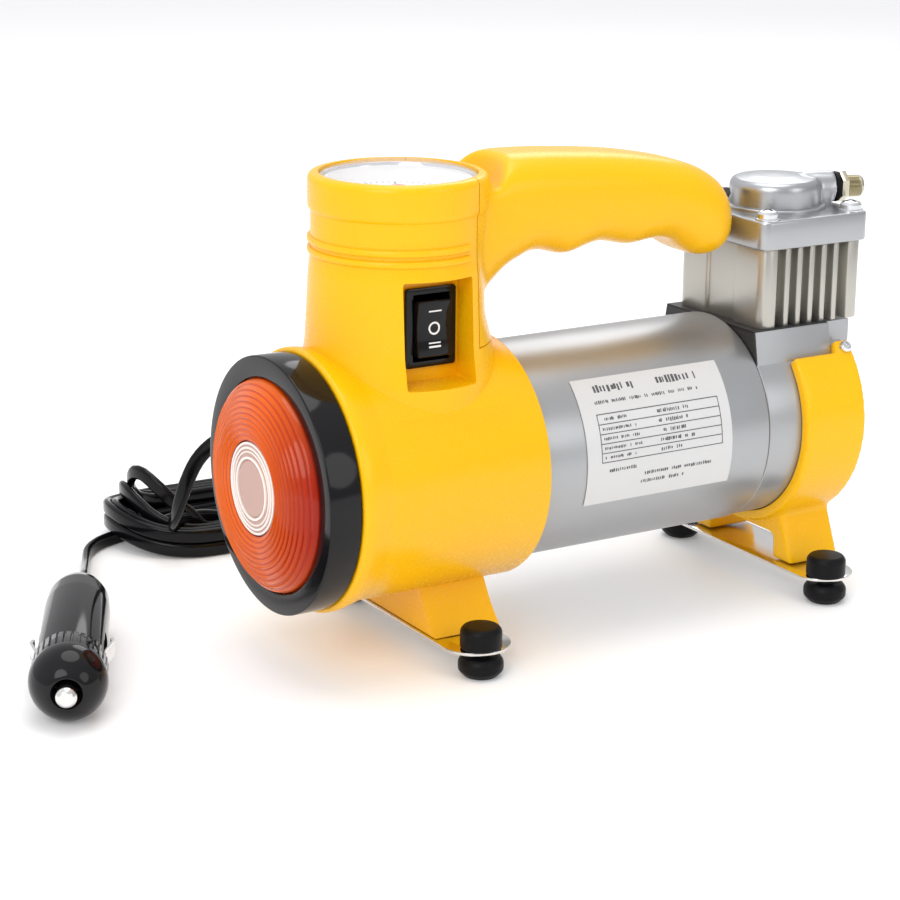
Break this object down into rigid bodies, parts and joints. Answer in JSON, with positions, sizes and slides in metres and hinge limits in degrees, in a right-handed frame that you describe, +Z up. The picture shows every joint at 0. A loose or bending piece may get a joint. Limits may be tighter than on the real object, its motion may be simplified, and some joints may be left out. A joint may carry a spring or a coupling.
{
  "type": "portable tyre inflator",
  "caption": "Portable 12 V tyre inflator: motor and finned piston pump on rubber feet, with gauge tower, switch, amber lamp, carrying handle and corded socket plug.",
  "frame": {"origin": "on the ground, below the middle of the machine's length and width, its lead and plug left out", "axes": "+X from the lamp to the pump, along the motor's axis; +Y to the side away from the switch; +Z up"},
  "size_m": [0.2648, 0.179, 0.1357],
  "materials": {
    "yellow_moulding": "satin moulded ABS",
    "black_gloss": "glossy moulded ABS",
    "black_matte": "matt",
    "amber": "ribbed amber lens, clear acrylic in reality",
    "clear": "clear acrylic",
    "reflector": "vacuum-metallised",
    "led_board": "solder mask",
    "gauge_chrome": "plated",
    "dial_white": "printed",
    "needle_red": "painted",
    "brass": "turned",
    "nickel": "nickel-plated brass",
    "motor_paint": "silver-grey paint",
    "cast_aluminium": "cast and extruded, satin",
    "steel": "bright zinc plate",
    "copper": "enamelled copper and laminations",
    "magnet": "ferrite and carbon",
    "rubber": "matt",
    "cord": "PVC, smooth"
  },
  "bodies": {
    "housing": {"front_housing": "yellow_moulding", "handle_shell": "yellow_moulding", "handle_grip": "yellow_moulding", "lamp_bezel": "black_gloss", "amber_lens": "amber", "clear_lens": "clear", "lamp_reflector": "reflector", "lamp_led_board": "led_board", "gauge_case": "gauge_chrome", "gauge_dial": "dial_white", "gauge_lens": "clear", "gauge_movement": "brass", "gauge_air_tube": "black_matte", "switch_body": "black_gloss", "motor_can": "motor_paint", "motor_end_cap": "black_matte", "rear_bearing": "steel", "magnet_near": "magnet", "magnet_far": "magnet", "brush_upper": "magnet", "brush_lower": "magnet", "rating_label": "dial_white", "crankcase": "motor_paint", "crankcase_cover": "black_matte", "cylinder": "cast_aluminium", "cylinder_head": "cast_aluminium", "valve_plate": "steel", "head_bolt_1": "steel", "head_bolt_2": "steel", "head_bolt_3": "steel", "head_bolt_4": "steel", "outlet_ring": "rubber", "outlet_nipple": "nickel", "rear_bracket": "yellow_moulding", "bracket_screw_near": "steel", "bracket_screw_far": "steel", "front_plate": "steel", "rear_plate": "steel", "foot_front_near": "rubber", "foot_front_far": "rubber", "foot_rear_near": "rubber", "foot_rear_far": "rubber", "cord_grommet": "rubber", "power_cord_lead": "cord", "power_cord_coil": "cord", "power_cord_tail": "cord", "plug_body": "black_gloss", "plug_cap": "black_gloss"},
    "rotor": {"rotor_core": "copper", "rotor_shaft": "steel", "commutator": "copper", "crank": "steel"},
    "piston": {"piston_rod": "cast_aluminium", "piston_seal": "rubber"},
    "rocker": {"switch_rocker": "black_gloss"},
    "needle": {"gauge_needle": "needle_red"},
    "reed": {"outlet_reed": "steel"},
    "tip": {"plug_tip": "steel"},
    "left_contact": {"plug_contact_left": "steel"},
    "right_contact": {"plug_contact_right": "steel"}
  },
  "joints": [
    {"name": "rotor_spin", "type": "hinge", "parent": "housing", "child": "rotor", "pos_m": [0.0064, 0, 0.0505], "axis": [1, 0, 0], "continuous": true},
    {"name": "piston_stroke", "type": "slide", "parent": "housing", "child": "piston", "axis": [0, 0, 1], "range_m": [-0.012, 0]},
    {"name": "switch_rock", "type": "hinge", "parent": "housing", "child": "rocker", "pos_m": [-0.0532, -0.0115, 0.0927], "axis": [1, 0, 0], "range_deg": [-12, 12]},
    {"name": "needle_sweep", "type": "hinge", "parent": "housing", "child": "needle", "pos_m": [-0.0538, 0, 0.1255], "axis": [0, 0, 1], "range_deg": [-270, 0], "stiffness_Nm_per_rad": 0.00001},
    {"name": "reed_lift", "type": "hinge", "parent": "housing", "child": "reed", "pos_m": [0.0673, 0.0045, 0.1048], "axis": [0, 1, 0], "range_deg": [-10, 0], "stiffness_Nm_per_rad": 0.005},
    {"name": "tip_press", "type": "slide", "parent": "housing", "child": "tip", "axis": [0.4304, 0.9026, 0], "range_m": [0, 0.0025], "stiffness_N_per_m": 400},
    {"name": "left_contact_press", "type": "hinge", "parent": "housing", "child": "left_contact", "pos_m": [-0.15806, 0.00461, 0.01025], "axis": [0, 0, 1], "range_deg": [-8, 0], "stiffness_Nm_per_rad": 0.1},
    {"name": "right_contact_press", "type": "hinge", "parent": "housing", "child": "right_contact", "pos_m": [-0.14362, -0.00228, 0.01025], "axis": [0, 0, 1], "range_deg": [0, 8], "stiffness_Nm_per_rad": 0.1}
  ]
}
